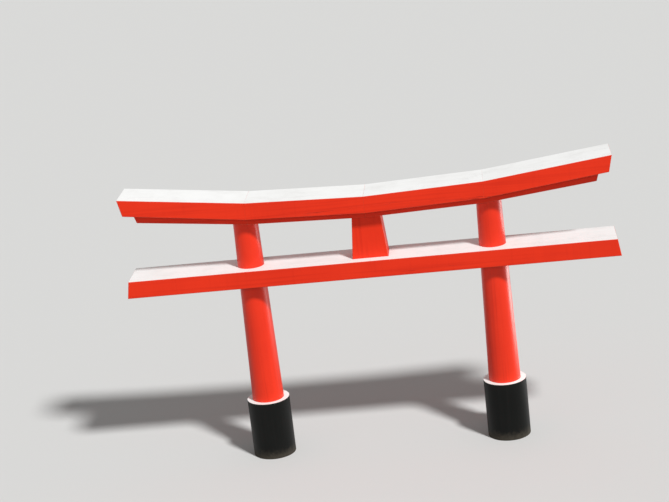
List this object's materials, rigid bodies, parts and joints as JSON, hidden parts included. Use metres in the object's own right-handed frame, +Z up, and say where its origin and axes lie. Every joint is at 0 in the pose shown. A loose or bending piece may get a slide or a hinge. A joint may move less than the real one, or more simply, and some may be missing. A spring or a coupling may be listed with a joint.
{
  "type": "torii gate",
  "caption": "Painted timber torii gate: round tapered pillars in black base sleeves, a deep tie beam, a centre strut and a rising double lintel with white cap boards.",
  "frame": {"origin": "on the ground, midway between the two pillars", "axes": "+X along the beams to the right seen from the front, +Y from front to back, +Z up"},
  "size_m": [6.078, 0.576, 3.5588],
  "materials": {
    "red_paint": "vermilion paint on planed timber, satin",
    "black_paint": "black lacquer paint on timber, satin",
    "white_paint": "white paint on thin weather boards"
  },
  "bodies": {
    "root": {"pillar_left": "red_paint", "base_sleeve_left_front": "black_paint", "base_sleeve_left_back": "black_paint", "sleeve_ring_left": "white_paint", "pillar_right": "red_paint", "base_sleeve_right_front": "black_paint", "base_sleeve_right_back": "black_paint", "sleeve_ring_right": "white_paint", "nuki_front": "red_paint", "nuki_back": "red_paint", "gakuzuka": "red_paint", "nuki_cap_outer_left": "white_paint", "shimaki_outer_left": "red_paint", "kasagi_outer_left": "red_paint", "kasagi_cap_outer_left": "white_paint", "nuki_cap_inner_left": "white_paint", "shimaki_inner_left": "red_paint", "kasagi_inner_left": "red_paint", "kasagi_cap_inner_left": "white_paint", "nuki_cap_inner_right": "white_paint", "shimaki_inner_right": "red_paint", "kasagi_inner_right": "red_paint", "kasagi_cap_inner_right": "white_paint", "nuki_cap_outer_right": "white_paint", "shimaki_outer_right": "red_paint", "kasagi_outer_right": "red_paint", "kasagi_cap_outer_right": "white_paint"}
  },
  "joints": []
}
